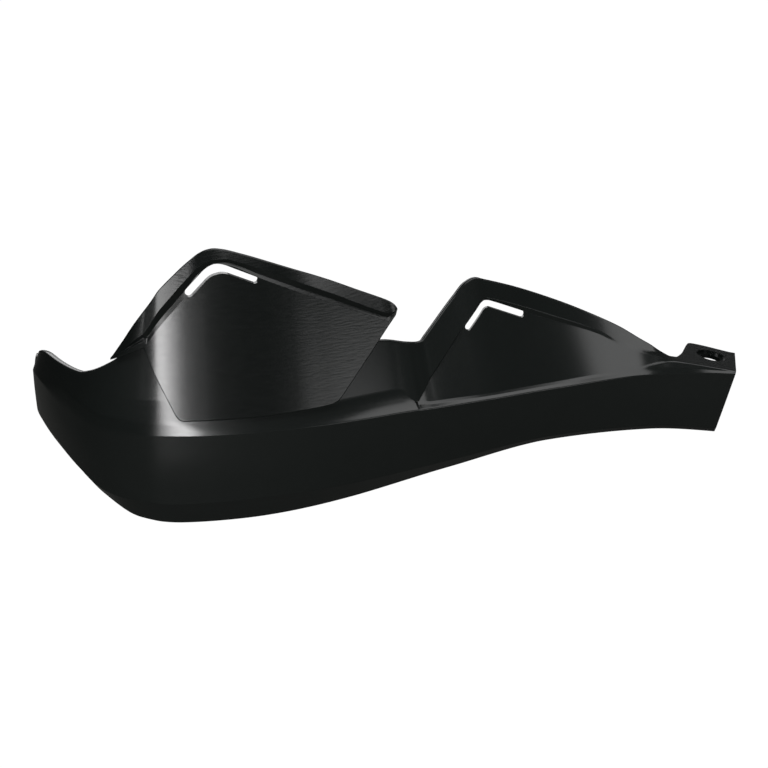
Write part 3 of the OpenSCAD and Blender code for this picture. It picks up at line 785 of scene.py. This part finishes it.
def addLamp(name, facts):
    # a rectangular lamp that faces the object
    lamp = bpy.data.lights.new(name, "AREA")
    lamp.shape = "RECTANGLE"
    lamp.size, lamp.size_y = facts["width"], facts["height"]
    lamp.energy = facts["watts"]
    holder = bpy.data.objects.new(name, lamp)
    aim(holder, studio["middle"], direction(facts["azimuth"], facts["elevation"]), studio["lampDistance"])


for name, facts in studio["lamps"].items():
    addLamp(name + "Lamp", facts)


def makeWorld():
    # white where the camera looks and on a board behind the object that gloss can see; a dim room all round
    world = bpy.data.worlds.new("studioRoom")
    bpy.context.scene.world = world
    world.use_nodes = True
    tree = world.node_tree
    tree.nodes.clear()
    ray = addNode(tree, "ShaderNodeLightPath")
    look = addNode(tree, "ShaderNodeTexCoord").outputs["Generated"]
    ahead = -direction(cameraFacts["azimuth"], cameraFacts["elevation"])
    facing = addNode(tree, "ShaderNodeVectorMath", {"operation": "DOT_PRODUCT"}, {0: look, 1: ahead})
    edge = float(np.cos(np.radians(studio["boardHalfAngle"])))
    board = addNode(tree, "ShaderNodeMapRange", {"interpolation_type": "SMOOTHSTEP"},
                    {"Value": facing.outputs["Value"], "From Min": edge - 0.05, "From Max": edge + 0.02})
    mirrored = addNode(tree, "ShaderNodeMath", {"operation": "MAXIMUM"},
                       {0: ray.outputs["Is Glossy Ray"], 1: ray.outputs["Is Transmission Ray"]})
    onBoard = addNode(tree, "ShaderNodeMath", {"operation": "MULTIPLY"},
                      {0: mirrored.outputs["Value"], 1: board.outputs["Result"]})
    white = addNode(tree, "ShaderNodeMath", {"operation": "MAXIMUM"},
                    {0: ray.outputs["Is Camera Ray"], 1: onBoard.outputs["Value"]})
    roomLight, whiteLight = (addNode(tree, "ShaderNodeBackground", None,
                                     {"Color": hexColour("#ffffff"), "Strength": strength}).outputs["Background"]
                             for strength in (studio["room"], 1.0))
    both = addNode(tree, "ShaderNodeMixShader", None, {0: white.outputs["Value"], 1: roomLight, 2: whiteLight})
    addNode(tree, "ShaderNodeOutputWorld", None, {"Surface": both.outputs["Shader"]})


makeWorld()


def floorPaper():
    # white seamless paper: matt, mostly clipped to white for the camera but still keeping the soft shadow
    material, tree = newMaterial("floorPaper")
    ray = addNode(tree, "ShaderNodeLightPath")
    share = addNode(tree, "ShaderNodeMath", {"operation": "MULTIPLY"},
                    {0: ray.outputs["Is Camera Ray"], 1: studio["paperShare"]})
    paper = addNode(tree, "ShaderNodeBsdfDiffuse", None, {"Color": hexColour(studio["paper"])})
    glow = addNode(tree, "ShaderNodeEmission", None,
                   {"Color": hexColour("#ffffff"), "Strength": studio["paperGlow"]})
    both = addNode(tree, "ShaderNodeMixShader", None,
                   {0: share.outputs["Value"], 1: paper.outputs["BSDF"], 2: glow.outputs["Emission"]})
    addNode(tree, "ShaderNodeOutputMaterial", None, {"Surface": both.outputs["Shader"]})
    return material


floorMesh = bpy.data.meshes.new("floor")
half, floorZ = studio["floorHalf"], studio["floorZ"]
floorMesh.from_pydata([(-half, -half, floorZ), (half, -half, floorZ), (half, half, floorZ), (-half, half, floorZ)],
                      [], [(0, 1, 2, 3)])
floor = bpy.data.objects.new("floor", floorMesh)
bpy.context.scene.collection.objects.link(floor)
floor.data.materials.append(floorPaper())

camera = bpy.data.objects.new("camera", bpy.data.cameras.new("camera"))
camera.data.lens = cameraFacts["lens"]
camera.data.sensor_width = cameraFacts["sensor"]
aim(camera, cameraFacts["target"], direction(cameraFacts["azimuth"], cameraFacts["elevation"]),
    cameraFacts["distance"])
bpy.context.scene.camera = camera
bpy.context.scene.view_settings.view_transform = "Standard"
print("studio ready")
